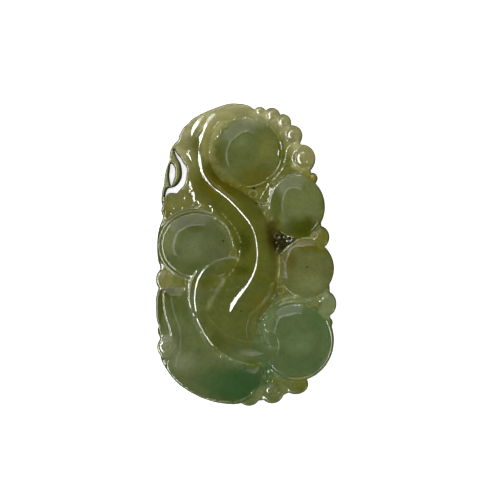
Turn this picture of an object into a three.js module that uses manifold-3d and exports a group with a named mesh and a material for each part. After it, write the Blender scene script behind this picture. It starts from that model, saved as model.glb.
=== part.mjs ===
// Carved stone pendant, one solid. A ruyi lies across it: an S-shaped keeled stem that widens into a head
// with three cloud lobes. Round fruits fill the space beside the stem, a row of beads runs along the edge,
// and two small openings are pierced through the scrollwork at the upper left.
// Millimetres. The pendant lies on its flat back at z = 0, +Y points to its top and +Z is the carved face.

import * as THREE from "three";
import { mergeVertices } from "three/addons/utils/BufferGeometryUtils.js";
import Module from "manifold-3d";

const wasm = await Module();
wasm.setup();

// Levels above the flat back
const thickness = 6.5; // back to the highest point of the stem's keel
const ground = 3.0; // sunk ground between the carved forms
const foot = 0.4; // underside of the forms that overhang the back plate
const girdle = 1.5; // where the rounded underside of a form turns upright
const rimLevel = 4.2; // lip around the rimmed lobes
const stemEdge = 4.0; // sides of the stem
const headTop = 5.2; // middle of the ruyi head
const fruitEdge = 3.4; // where a fruit starts to round over
const beadEdge = 2.2; // where an edge bead starts to round over
const seedTop = 3.7; // small round seeds on the ground

// Widths shared by several forms
const plateRound = 0.6; // rounded edge of the back plate
const headRound = 1.0; // rolled edge of the ruyi head
const rimWidth = 0.8; // lip around the rimmed lobes, with the groove inside it
const rimDepth = 0.4; // that groove
const lipCrest = 0.4; // where the lip is highest, as a share of its width from the outside
const underside = 0.85; // flat part of a form's underside, as a share of its width
const welded = 1e-4; // vertices closer than this are one

const stone = { color: 0x6b7040, roughness: 0.18, metalness: 0 };

// Round forms: centre, half width, half height and top level
const rimmedLobes = [
  { x: 0.2, y: 16.9, rx: 5.9, ry: 6.0, top: 5.2 }, // large fruit at the top
  { x: -8.2, y: 1.6, rx: 6.3, ry: 5.9, top: 5.2 }, // left cloud lobe
  { x: 8.4, y: -14.2, rx: 6.1, ry: 6.3, top: 5.3 }, // right cloud lobe
];
const plainFruits = [
  { x: 8.4, y: 8.0, rx: 4.65, ry: 5.0, top: 5.3 },
  { x: 9.9, y: -2.2, rx: 4.6, ry: 4.6, top: 5.1 },
];
const edgeBeads = [
  { x: 2.1, y: 23.7, rx: 0.8, ry: 0.8, top: 4.1 },
  { x: 4.1, y: 23.0, rx: 1.3, ry: 1.25, top: 4.4 },
  { x: 6.1, y: 21.9, rx: 1.3, ry: 1.3, top: 4.4 },
  { x: 7.8, y: 19.8, rx: 1.5, ry: 1.5, top: 4.5 },
  { x: 9.3, y: 15.9, rx: 2.2, ry: 2.2, top: 4.9 },
  { x: 11.0, y: 12.6, rx: 0.8, ry: 0.9, top: 4.1 },
  { x: 12.2, y: 2.9, rx: 1.6, ry: 1.8, top: 4.3 },
  { x: 13.4, y: -8.1, rx: 1.55, ry: 2.0, top: 4.5 },
  { x: 13.6, y: -11.2, rx: 0.75, ry: 0.8, top: 4.0 },
  { x: 8.2, y: -21.5, rx: 2.0, ry: 1.6, top: 4.3 },
  { x: 4.3, y: -22.6, rx: 1.95, ry: 1.95, top: 4.8 },
  { x: 0.5, y: -23.6, rx: 1.7, ry: 1.4, top: 4.2 },
  { x: -12.8, y: -15.2, rx: 1.75, ry: 1.8, top: 4.8 },
  { x: -13.8, y: -12.4, rx: 0.8, ry: 0.9, top: 4.1 },
  { x: -13.5, y: -4.1, rx: 1.4, ry: 1.9, top: 4.5 },
];
const seeds = [
  { x: 1.2, y: 9.9, r: 0.7 },
  { x: 5.1, y: 3.1, r: 0.55 },
  { x: 6.8, y: 2.4, r: 0.55 },
  { x: 11.1, y: 2.9, r: 0.5 },
  { x: 5.6, y: -6.0, r: 0.8 },
  { x: 12.0, y: -7.1, r: 0.6 },
  { x: -9.6, y: -4.7, r: 0.65 },
  { x: 3.5, y: -17.9, r: 0.5 },
  { x: 3.7, y: -19.6, r: 0.5 },
];

// Long forms: x, y, width to the viewer's left, width to the right, crest level, with the spine running down
const stemRun = [
  [1.3, 23.7, 0.5, 0.5, 4.2],
  [-1.3, 23.9, 1.0, 1.1, 4.7],
  [-3.6, 23.4, 1.3, 1.4, 5.0],
  [-5.6, 22.2, 1.7, 1.5, 5.3],
  [-6.9, 20.4, 1.4, 1.7, 5.5],
  [-7.6, 17.8, 1.1, 1.8, 5.6],
  [-7.5, 15.4, 0.8, 1.9, 5.7],
  [-6.7, 12.3, 1.1, 2.0, 5.9],
  [-4.0, 9.9, 2.3, 2.1, 6.2],
  [-1.8, 8.0, 2.6, 2.7, 6.4],
  [0.9, 4.2, 2.5, 3.1, thickness],
  [1.8, 0.0, 2.5, 3.3, 6.4],
  [0.6, -4.4, 2.9, 4.0, 6.1],
  [-1.6, -7.4, 2.8, 3.9, 5.6],
  [-2.8, -10.0, 1.6, 2.6, 5.2],
];
const beanLobeRun = [
  [-12.3, -5.9, 1.8, 1.9, 4.3],
  [-11.8, -7.8, 3.1, 3.1, 4.8],
  [-11.2, -10.9, 3.1, 3.2, 5.0],
  [-9.9, -14.6, 3.7, 3.6, 5.1],
  [-7.6, -18.3, 4.2, 4.1, 5.2],
  [-4.2, -20.5, 4.1, 3.8, 5.1],
  [-1.0, -21.1, 3.6, 3.4, 4.9],
  [1.3, -20.6, 2.8, 2.6, 4.6],
  [2.6, -20.0, 1.3, 1.3, 4.1],
];
const leafRun = [
  [-7.6, 23.0, 0.4, 0.4, 4.0],
  [-8.6, 21.2, 1.2, 1.2, 4.9],
  [-9.5, 19.5, 1.4, 1.3, 4.8],
  [-9.4, 17.6, 1.2, 1.1, 4.6],
  [-8.9, 15.6, 0.9, 1.0, 4.4],
  [-8.7, 13.0, 0.9, 0.8, 4.2],
];
const outerScrollRun = [
  [-11.3, 18.4, 0.5, 0.8, 3.8],
  [-12.1, 17.1, 0.5, 0.4, 4.2],
  [-12.7, 15.4, 0.4, 0.5, 4.2],
  [-13.1, 13.0, 0.4, 0.4, 4.0],
  [-13.5, 10.9, 0.4, 0.4, 3.9],
  [-13.4, 8.8, 0.5, 0.6, 3.7],
];
const innerScrollRun = [
  [-12.5, 15.8, 0.4, 0.4, 4.0],
  [-11.5, 14.7, 0.5, 0.5, 4.3],
  [-11.1, 13.4, 0.5, 0.5, 4.3],
  [-11.5, 12.1, 0.5, 0.5, 4.2],
  [-12.7, 11.1, 0.4, 0.4, 3.9],
];
const leftHookRun = [
  [-3.4, -0.9, 0.4, 0.6, 4.8],
  [-5.3, -1.6, 1.0, 1.0, 5.6],
  [-6.7, -3.0, 1.2, 1.3, 5.7],
  [-7.3, -5.2, 1.2, 1.4, 5.7],
  [-7.1, -8.0, 1.3, 1.6, 5.6],
  [-6.0, -10.8, 1.2, 1.5, 5.2],
];
const rightCurlRun = [
  [2.9, -10.2, 0.5, 0.5, 4.8],
  [2.5, -12.4, 0.8, 0.8, 5.4],
  [3.1, -14.6, 0.8, 0.8, 5.5],
  [4.4, -15.4, 0.7, 0.7, 5.5],
  [5.5, -14.6, 0.6, 0.6, 5.4],
  [5.6, -13.3, 0.4, 0.4, 5.1],
];

// Outlines, clockwise as the viewer sees them
const plateOutline = [
  [-11.2, 18.7], [-9.3, 21.7], [-5.7, 24.2], [-1.6, 25.0], [1.6, 24.1], [4.3, 23.4], [6.8, 21.8],
  [8.6, 19.2], [10.5, 16.0], [11.0, 12.6], [12.2, 8.0], [12.9, 2.9], [13.7, -2.2], [14.0, -8.1],
  [13.8, -14.1], [12.1, -18.2], [9.2, -21.6], [5.4, -23.7], [0.6, -24.4], [-4.3, -24.3], [-8.8, -22.4],
  [-12.5, -18.9], [-13.8, -14.2], [-14.9, -8.3], [-14.0, -4.2], [-14.0, 1.6], [-13.7, 7.1], [-13.9, 9.9],
  [-13.4, 13.6], [-12.6, 16.9],
];
const headOutline = [
  [-0.6, -3.4], [2.2, -2.6], [4.4, -3.8], [4.4, -6.2], [3.0, -8.8], [2.2, -11.2], [3.2, -12.8], [5.2, -13.5],
  [5.9, -15.2], [4.9, -16.9], [2.6, -17.5], [-1.0, -17.2], [-4.6, -15.2], [-7.3, -11.8], [-8.4, -7.8],
  [-7.4, -4.6], [-4.2, -3.8],
];

// Openings pierced through the scrollwork
const slotRun = [
  [-12.3, 15.1, 0.15, 0.15],
  [-12.15, 14.2, 0.5, 0.5],
  [-12.2, 13.0, 0.45, 0.45],
  [-12.3, 11.8, 0.15, 0.15],
];
const crescentRun = [
  [-11.9, 17.2, 0.15, 0.15],
  [-10.9, 15.9, 0.35, 0.35],
  [-10.2, 14.4, 0.45, 0.45],
  [-10.2, 12.8, 0.45, 0.45],
  [-10.7, 11.4, 0.45, 0.45],
  [-11.8, 10.6, 0.4, 0.4],
  [-13.0, 10.3, 0.25, 0.25],
];

// Closed three.js geometry to a solid that can be joined and cut
function toSolid(geometry) {
  geometry.deleteAttribute("normal");
  geometry.deleteAttribute("uv");
  const merged = mergeVertices(geometry, welded);
  const corners = merged.index.array;
  const triVerts = [];
  for (let i = 0; i < corners.length; i += 3) {
    const [a, b, c] = corners.slice(i, i + 3);
    if (a !== b && b !== c && c !== a) triVerts.push(a, b, c);
  }
  const vertProperties = new Float32Array(merged.attributes.position.array);
  return new wasm.Manifold(
    new wasm.Mesh({ numProp: 3, vertProperties, triVerts: new Uint32Array(triVerts) }),
  );
}

function join(solids) {
  return solids.reduce((whole, solid) => whole.add(solid));
}

// Round form with a rounded underside, an upright girdle, a lip where one is given, and a domed top
function boss({ x, y, rx, ry, top }, { edge, segments, rings, lip = 0 }) {
  const inside = 1 - lip / rx;
  const profile = [
    [0, foot],
    [underside, foot],
    [1, girdle],
  ];
  if (lip > 0) profile.push([1, edge], [1 - lipCrest * (1 - inside), rimLevel]);
  for (let i = 0; i < rings; i++) {
    const angle = (i / rings) * (Math.PI / 2);
    profile.push([inside * Math.cos(angle), edge + (top - edge) * Math.sin(angle)]);
  }
  profile.push([0, top]);
  const points = profile.map(([radius, level]) => new THREE.Vector2(radius, level));
  const dome = new THREE.LatheGeometry(points, segments);
  dome.rotateX(Math.PI / 2);
  dome.scale(rx, ry, 1);
  dome.translate(x, y, 0);
  return toSolid(dome);
}

// Long form on a curved spine: a rounded or keeled section that follows the widths and crest of its run
function ribbon(run, { edge, bottom, fullness, across, along }) {
  const path = run.map(([x, y, , , crest = edge]) => new THREE.Vector3(x, y, crest));
  const sides = run.map(([, , left, right]) => new THREE.Vector3(left, right, 0));
  const spine = new THREE.CatmullRomCurve3(path);
  const widths = new THREE.CatmullRomCurve3(sides);
  const body = new THREE.BoxGeometry(2, 2, 2, across, along, 1);
  const place = body.attributes.position;
  for (let i = 0; i < place.count; i++) {
    const side = Math.sin((place.getX(i) * Math.PI) / 2);
    const t = (1 - place.getY(i)) / 2;
    const middle = spine.getPoint(t);
    const tangent = spine.getTangent(t).setZ(0).normalize();
    const width = widths.getPoint(t);
    const reach = side * (side < 0 ? width.x : width.y);
    const swell = (1 - Math.abs(side) ** fullness) ** (1 / fullness);
    const level = place.getZ(i) > 0 ? edge + (middle.z - edge) * swell : bottom;
    place.setXYZ(i, middle.x - tangent.y * reach, middle.y + tangent.x * reach, level);
  }
  return toSolid(body);
}

// Flat form with a smooth outline and a rounded edge
function slab(outline, { bottom, top, round, points, roundSteps }) {
  const corners = outline.map(([x, y]) => new THREE.Vector3(x, y, 0));
  const smooth = new THREE.CatmullRomCurve3(corners, true).getPoints(points).slice(0, -1);
  const shape = new THREE.Shape(smooth.map((point) => new THREE.Vector2(point.x, point.y)));
  const body = new THREE.ExtrudeGeometry(shape, {
    depth: top - bottom - 2 * round,
    bevelThickness: round,
    bevelSize: round,
    bevelOffset: -round,
    bevelSegments: roundSteps,
  });
  body.translate(0, 0, bottom + round);
  return toSolid(body);
}

const flatForms = [
  slab(plateOutline, { bottom: 0, top: ground, round: plateRound, points: 100, roundSteps: 2 }),
  slab(headOutline, { bottom: foot, top: headTop, round: headRound, points: 56, roundSteps: 3 }),
];

const lobeForm = { edge: rimLevel - rimDepth, segments: 36, rings: 5, lip: rimWidth };
const fruitForm = { edge: fruitEdge, segments: 32, rings: 5 };
const seedForm = { edge: ground, segments: 8, rings: 2 };
const roundForms = [
  ...rimmedLobes.map((lobe) => boss(lobe, lobeForm)),
  ...plainFruits.map((fruit) => boss(fruit, fruitForm)),
  ...edgeBeads.map((bead) => boss(bead, { edge: beadEdge, segments: bead.rx > 1 ? 16 : 10, rings: 3 })),
  ...seeds.map(({ x, y, r }) => boss({ x, y, rx: r, ry: r, top: seedTop }, seedForm)),
];

const longForms = [
  ribbon(stemRun, { edge: stemEdge, bottom: foot, fullness: 1.45, across: 6, along: 44 }),
  ribbon(beanLobeRun, { edge: ground, bottom: foot, fullness: 2.2, across: 6, along: 24 }),
  ribbon(leafRun, { edge: ground, bottom: foot, fullness: 1.8, across: 4, along: 14 }),
  ribbon(outerScrollRun, { edge: ground, bottom: foot, fullness: 2, across: 4, along: 16 }),
  ribbon(innerScrollRun, { edge: ground, bottom: foot, fullness: 2, across: 4, along: 14 }),
  ribbon(leftHookRun, { edge: stemEdge, bottom: foot, fullness: 1.8, across: 4, along: 16 }),
  ribbon(rightCurlRun, { edge: stemEdge, bottom: foot, fullness: 2, across: 4, along: 14 }),
];

const throughCut = { edge: thickness + 1, bottom: -1, fullness: 2, across: 2, along: 12 };
const openings = [ribbon(slotRun, throughCut), ribbon(crescentRun, throughCut)];

const carved = join([...flatForms, ...roundForms, ...longForms]);
const pierced = carved.subtract(join(openings));

const surface = pierced.getMesh();
const geometry = new THREE.BufferGeometry();
geometry.setAttribute("position", new THREE.BufferAttribute(surface.vertProperties, 3));
geometry.setIndex(new THREE.BufferAttribute(surface.triVerts, 1));
geometry.computeVertexNormals();

const pendant = new THREE.Mesh(geometry, new THREE.MeshStandardMaterial(stone));
pendant.name = "pendant";

const group = new THREE.Group();
group.add(pendant);

export default group;
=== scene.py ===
import math

import bpy
import numpy as np
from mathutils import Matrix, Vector, kdtree
from mathutils.geometry import delaunay_2d_cdt


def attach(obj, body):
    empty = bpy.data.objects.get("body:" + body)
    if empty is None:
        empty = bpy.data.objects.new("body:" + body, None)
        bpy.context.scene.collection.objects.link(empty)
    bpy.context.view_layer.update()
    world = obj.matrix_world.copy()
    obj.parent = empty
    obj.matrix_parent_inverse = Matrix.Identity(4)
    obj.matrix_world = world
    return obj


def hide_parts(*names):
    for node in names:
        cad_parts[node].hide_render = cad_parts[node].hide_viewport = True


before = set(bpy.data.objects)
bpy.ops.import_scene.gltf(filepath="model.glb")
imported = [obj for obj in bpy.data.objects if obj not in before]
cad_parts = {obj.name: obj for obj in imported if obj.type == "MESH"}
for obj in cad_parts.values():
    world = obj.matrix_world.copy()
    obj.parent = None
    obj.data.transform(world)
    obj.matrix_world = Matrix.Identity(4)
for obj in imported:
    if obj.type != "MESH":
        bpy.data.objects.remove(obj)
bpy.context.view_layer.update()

mm = 0.001  # the carving is laid out in millimetres


# Levels above the flat back and the widths that all forms share, in millimetres
carving = {
    "girdle": 1.7,  # where the outline is widest
    "ground": 3.7,
    "grooveDepth": 0.26,  # a narrow cut lies this far below the lower form beside it
    "grooveSpan": 1.0,  # cuts up to about twice as wide count as narrow
    "grooveBlend": 0.05,
    "edgeRoll": 0.32,  # the front of the outline rolls over in this width
    "backRoll": 1.0,
    "holeRoll": 0.24,
    "blend": 0.06,  # fillet between neighbouring forms
    "steep": 5.0,  # fall of a form outside its own edge
    "endFall": 2.0,  # fall of a long form beyond its ends
    "bevelSlope": 0.3,
    "dishFade": (0.5, 2.1),  # where a closed form's middle sinks, over the width of its crown
    "faceSlope": 0.62,  # of the narrow polished faces that catch the window
    "faceRound": 0.08,
    "rimFaces": 0.22,  # width of each side of the thin rims
    "rimInset": 0.42,
    "rimRound": 0.2,  # over the width of a side
    "rimFall": 3.0,  # outside both sides
    "rimDrop": 0.05,  # below the edge of the dome
    "rimBlend": 0.03,
    "groundFade": (0.5, 0.1),  # height over the ground at which polish starts to give way, and is gone
    "cutFade": (0.1, 0.4),  # the same for the depth of a groove
    "waves": 0.03,  # slow unevenness left by hand polishing
    "grit": 0.05,  # unpolished grain of the cuts and the ground
    "fineGrit": 0.6,  # share of a finer grain in it
    "polishedGrit": 0.05,  # share of the grain left on polished stone
    "grains": 0.32,  # single grains standing out of the cuts
    "grainsFrom": 0.5,
    "reach": 1.0,  # a form is worked out this far around it
    "runReach": 5.0,
}
noises = {  # cell sizes in millimetres and seeds of the uneven textures
    "waves": {"cell": 2.3, "seed": 5},
    "grit": {"cell": 0.55, "seed": 7},
    "fineGrit": {"cell": 0.3, "seed": 9},
    "grains": {"cell": 0.45, "seed": 13},
    "breaks": {"cell": 0.5, "seed": 3},  # along the fine lines
    "highlightBreakup": {"cell": 0.3, "seed": 21},  # breaks up their painted highlights
}
samples = {"line": 40, "run": 50, "ring": 1500, "ringStep": 0.05}  # lines and runs: for each given point

# Round forms: centre, half sizes, top, fall of the dome to its edge, width of the rim around it
# and of the bevelled edge
domes = {
    "topFruit": {
        "at": (0.1, 16.9), "half": (6.3, 6.3), "top": 5.2, "crown": 0.95, "rim": 0.85, "bevel": 0.08,
    },
    "upperFruit": {
        "at": (8.45, 7.9), "half": (4.6, 5.15), "top": 5.3, "crown": 0.95, "rim": 0, "bevel": 0,
    },
    "lowerFruit": {
        "at": (9.95, -2.25), "half": (4.6, 4.75), "top": 5.05, "crown": 0.7, "rim": 0, "bevel": 0,
    },
    "leftLobe": {
        "at": (-8.2, 1.6), "half": (6.4, 5.9), "top": 5.45, "crown": 0.85, "rim": 0.82, "bevel": 0.1,
    },
    "rightLobe": {
        "at": (8.2, -14.1), "half": (6.35, 6.75), "top": 5.3, "crown": 1.0, "rim": 0.82, "bevel": 0.08,
    },
}

beads = [  # x, y, half width, half height, level of the edge, height over the smaller half size
    (2.3, 23.6, 0.95, 0.85, 3.4, 0.9),
    (4.3, 23.0, 1.35, 1.3, 3.4, 0.9),
    (6.1, 21.8, 1.4, 1.45, 3.4, 0.9),
    (7.65, 19.7, 1.7, 1.7, 3.4, 0.9),
    (9.35, 15.85, 2.15, 2.35, 3.3, 0.9),
    (11.0, 12.6, 0.85, 0.95, 3.4, 0.9),
    (12.15, 2.9, 1.65, 1.85, 4.0, 0.32),
    (13.3, -8.1, 1.65, 2.05, 4.0, 0.32),
    (13.55, -11.2, 0.8, 0.85, 3.5, 0.8),
    (8.2, -21.4, 2.1, 1.65, 3.8, 0.32),
    (4.3, -22.55, 2.0, 2.0, 3.8, 0.34),
    (0.5, -23.5, 1.7, 1.45, 3.8, 0.32),
    (-12.75, -15.2, 1.9, 1.9, 4.7, 0.2),
    (-13.75, -12.4, 0.85, 0.9, 3.9, 0.25),
    (-13.45, -4.1, 1.43, 1.9, 3.9, 0.32),
]

seeds = [  # x, y, radius of the rings left by a tube drill, how strongly a pale highlight is painted on them
    (1.2, 10.0, 0.6, 0.2), (5.15, 3.1, 0.45, 0.16), (7.2, 2.6, 0.4, 0.14), (11.2, 3.15, 0.5, 0.4),
    (5.65, -5.8, 0.6, 0.2), (12.25, -7.0, 0.5, 0.25), (-9.5, -4.5, 0.45, 0.2), (3.5, -17.9, 0.5, 0),
    (3.7, -19.6, 0.5, 0), (-13.0, -15.0, 0.8, 0), (3.9, -22.2, 0.3, 0), (5.1, -22.3, 0.25, 0),
]
seedRing = {
    "rise": 0.09,
    "width": 0.13,
    "knob": 0.05,  # the core left inside the ring
    "knobFade": (0.6, 0.2),  # over the radius
    "highlightBreakup": 0.5,  # how far its painted highlight is broken up in places
}

# Long forms: x, y, width to the viewer's left, width to the right, top, width of the polished face
# on the left of the spine, which runs down, and the slope that follows that face. leftWall is the fall
# outside the left width, rightEdge the level at the right width
runs = {
    "stem": {
        "stations": [
            (1.3, 23.7, 0.5, 0.5, 4.1, 0, 0.43), (-1.3, 23.6, 1.0, 1.0, 4.5, 0, 0.43),
            (-3.5, 23.2, 1.1, 1.2, 4.8, 0, 0.43), (-4.65, 22.88, 1.2, 1.2, 4.95, 0.05, 0.43),
            (-5.25, 22.45, 1.2, 1.2, 5.0, 0.62, 0.43), (-6.35, 21.0, 1.3, 1.3, 5.1, 0.46, 0.43),
            (-7.0, 19.2, 1.4, 1.2, 5.1, 0.42, 0.43), (-7.4, 17.3, 2.0, 1.15, 5.1, 0.22, 0.43),
            (-7.25, 15.5, 2.3, 1.2, 5.15, 0.4, 0.43), (-6.75, 13.2, 2.9, 1.5, 5.3, 0.38, 0.43),
            (-5.3, 11.2, 3.2, 1.6, 5.6, 0.34, 0.43), (-3.9, 10.15, 2.8, 1.7, 5.85, 0.4, 0.43),
            (-2.1, 8.6, 2.5, 2.2, 6.15, 0.44, 0.43), (-0.4, 6.75, 2.5, 2.6, 6.32, 0.44, 0.43),
            (0.95, 5.0, 2.6, 2.6, 6.42, 0.44, 0.43), (1.65, 3.3, 2.7, 2.5, 6.42, 0.43, 0.43),
            (1.98, 1.6, 2.8, 2.5, 6.36, 0.43, 0.43), (2.05, -0.1, 2.9, 2.8, 6.25, 0.43, 0.43),
            (1.77, -2.2, 3.3, 3.3, 6.1, 0.44, 0.43), (0.85, -4.4, 3.8, 3.9, 5.85, 0.45, 0.43),
            (-0.3, -6.1, 4.1, 4.0, 5.6, 0.48, 0.43), (-1.35, -7.5, 4.0, 3.8, 5.4, 0.52, 0.43),
            (-2.2, -9.0, 3.4, 3.2, 5.15, 0.58, 0.43), (-2.55, -9.8, 3.0, 2.8, 5.02, 0, 0.43),
            (-3.0, -11.2, 1.6, 1.6, 4.7, 0, 0.43),
        ],
        "leftWall": 0, "rightEdge": 4.5, "bevel": 0,
    },
    "leaf": {
        "stations": [
            (-6.9, 22.7, 0.5, 0.4, 4.7, 0, 0.2), (-7.15, 22.15, 1.2, 0.5, 4.95, 0.5, 0.2),
            (-7.75, 21.2, 1.5, 0.6, 5.05, 0.7, 0.2), (-8.4, 20.2, 1.6, 0.6, 5.0, 0.62, 0.2),
            (-8.85, 19.3, 1.4, 0.6, 4.8, 0.4, 0.2), (-9.1, 18.3, 1.0, 0.6, 4.5, 0, 0.2),
        ],
        "leftWall": 0.42, "rightEdge": 4.8, "bevel": 0,
    },
    "twig": {
        "stations": [
            (-9.3, 16.9, 0.35, 0.3, 4.4, 0.22, 0.1), (-8.75, 16.2, 0.4, 0.4, 4.5, 0.2, 0.1),
            (-8.4, 15.2, 0.4, 0.4, 4.45, 0.06, 0.1), (-8.2, 13.8, 0.4, 0.4, 4.2, 0, 0.1),
        ],
        "leftWall": 1.0, "rightEdge": 4.2, "bevel": 0,
    },
    "outerScroll": {
        "stations": [
            (-11.4, 18.3, 0.5, 0.5, 4.1, 0.2, 0.2), (-12.1, 17.0, 0.4, 0.4, 4.3, 0.2, 0.2),
            (-12.5, 15.3, 0.4, 0.4, 4.3, 0.15, 0.2), (-13.1, 13.0, 0.35, 0.35, 4.2, 0.15, 0.2),
            (-13.5, 10.9, 0.35, 0.35, 4.1, 0.15, 0.2), (-13.4, 8.8, 0.5, 0.6, 3.9, 0, 0.2),
        ],
        "leftWall": 5.0, "rightEdge": 4.0, "bevel": 0,
    },
    "innerScroll": {
        "stations": [
            (-12.3, 15.9, 0.4, 0.4, 4.2, 0.1, 0.2), (-11.6, 15.2, 0.4, 0.4, 4.3, 0.2, 0.2),
            (-11.15, 14.0, 0.4, 0.4, 4.4, 0.2, 0.2), (-11.25, 12.7, 0.4, 0.4, 4.3, 0.2, 0.2),
            (-11.8, 11.7, 0.4, 0.4, 4.2, 0.2, 0.2), (-12.9, 11.2, 0.4, 0.4, 4.1, 0.1, 0.2),
        ],
        "leftWall": 5.0, "rightEdge": 4.0, "bevel": 0,
    },
    "leftHook": {
        "stations": [
            (-4.2, -0.75, 0.4, 0.7, 4.85, 0, 0.15), (-5.1, -1.2, 0.8, 1.0, 5.15, 0.28, 0.15),
            (-6.5, -2.35, 1.0, 1.3, 5.3, 0.37, 0.15), (-7.5, -3.8, 1.1, 1.5, 5.35, 0.39, 0.15),
            (-8.0, -5.4, 1.15, 1.6, 5.35, 0.37, 0.15), (-8.2, -7.2, 1.1, 1.6, 5.3, 0.34, 0.15),
            (-8.05, -8.8, 0.9, 1.6, 5.2, 0.3, 0.15), (-7.75, -10.0, 0.7, 1.4, 5.05, 0.12, 0.15),
            (-7.4, -11.0, 0.6, 1.2, 4.9, 0, 0.15),
        ],
        "leftWall": 5.0, "rightEdge": 5.0, "bevel": 0.08,
    },
}

# Closed forms: outline, top, fall to the edge and its width, sink of the middle, bevelled edge, slope outside
pillows = {
    "beanLobe": {
        "outline": [
            (-13.4, -6.0), (-12.4, -5.5), (-10.9, -5.5), (-9.6, -6.1), (-9.0, -7.5), (-8.7, -9.1),
            (-8.1, -10.8), (-7.1, -12.6), (-5.9, -14.4), (-4.3, -15.9), (-2.5, -17.0), (-0.7, -17.8),
            (1.0, -18.3), (2.2, -18.2), (2.8, -19.0), (2.6, -20.3), (2.0, -21.7), (0.8, -23.0),
            (-0.7, -23.9), (-2.3, -24.3), (-4.3, -24.1), (-6.3, -23.6), (-8.2, -22.8), (-10.2, -21.6),
            (-11.9, -20.0), (-12.9, -18.5), (-12.8, -17.0), (-12.4, -15.4), (-12.2, -13.8),
            (-12.5, -12.1), (-13.0, -10.6), (-13.4, -8.8), (-13.55, -7.1),
        ],
        "top": 5.2, "crown": 0.6, "crownWidth": 2.9, "dish": 0, "bevel": 0.05, "wall": 5.0,
    },
    "head": {
        "outline": [
            (-8.3, -6.5), (-8.5, -8.5), (-8.1, -10.5), (-7.15, -12.4), (-5.95, -14.2), (-4.3, -15.7),
            (-2.65, -16.7), (-1.0, -17.35), (0.7, -17.75), (2.6, -17.5), (4.3, -16.9), (5.2, -16.0),
            (4.9, -15.3), (3.4, -14.7), (2.4, -13.5), (2.1, -12.0), (2.6, -10.6), (3.6, -8.9), (4.8, -7.4),
            (5.0, -5.8), (4.6, -4.4), (2.0, -4.6), (-0.6, -4.7), (-3.0, -5.0), (-5.4, -5.0), (-7.2, -5.2),
        ],
        "top": 5.15, "crown": 0.3, "crownWidth": 1.2, "dish": 0.38, "bevel": 0, "wall": 5.0,
    },
    "eye": {
        "outline": [
            (-5.6, -1.3), (-4.2, -0.8), (-2.9, -0.5), (-1.7, -0.7), (-0.6, -1.8), (-0.6, -4.2), (-2.2, -5.6),
            (-5.2, -6.0), (-7.2, -5.6), (-7.1, -3.2),
        ],
        "top": 5.1, "crown": 0.1, "crownWidth": 1.5, "dish": 0, "bevel": 0, "wall": 5.0,
    },
    "leftEdge": {
        "outline": [
            (-14.85, -6.2), (-14.0, -5.5), (-13.0, -6.0), (-13.0, -9.0), (-12.4, -12.0), (-12.0, -13.8),
            (-13.6, -13.5), (-14.5, -11.6), (-14.9, -9.0),
        ],
        "top": 4.4, "crown": 0.1, "crownWidth": 1.0, "dish": 0, "bevel": 0, "wall": 5.0,
    },
    "shoulder": {
        "outline": [
            (0.9, 24.3), (-2.3, 24.8), (-5.0, 24.1), (-7.9, 22.8), (-9.9, 21.2), (-11.0, 19.4),
            (-10.6, 18.2), (-9.4, 17.7), (-8.2, 17.9), (-7.0, 19.6), (-5.6, 21.6), (-3.2, 22.9),
            (-0.6, 23.3),
        ],
        "top": 4.7, "crown": 0.45, "crownWidth": 2.2, "dish": 0, "bevel": 0, "wall": 0.42,
    },
}
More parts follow.
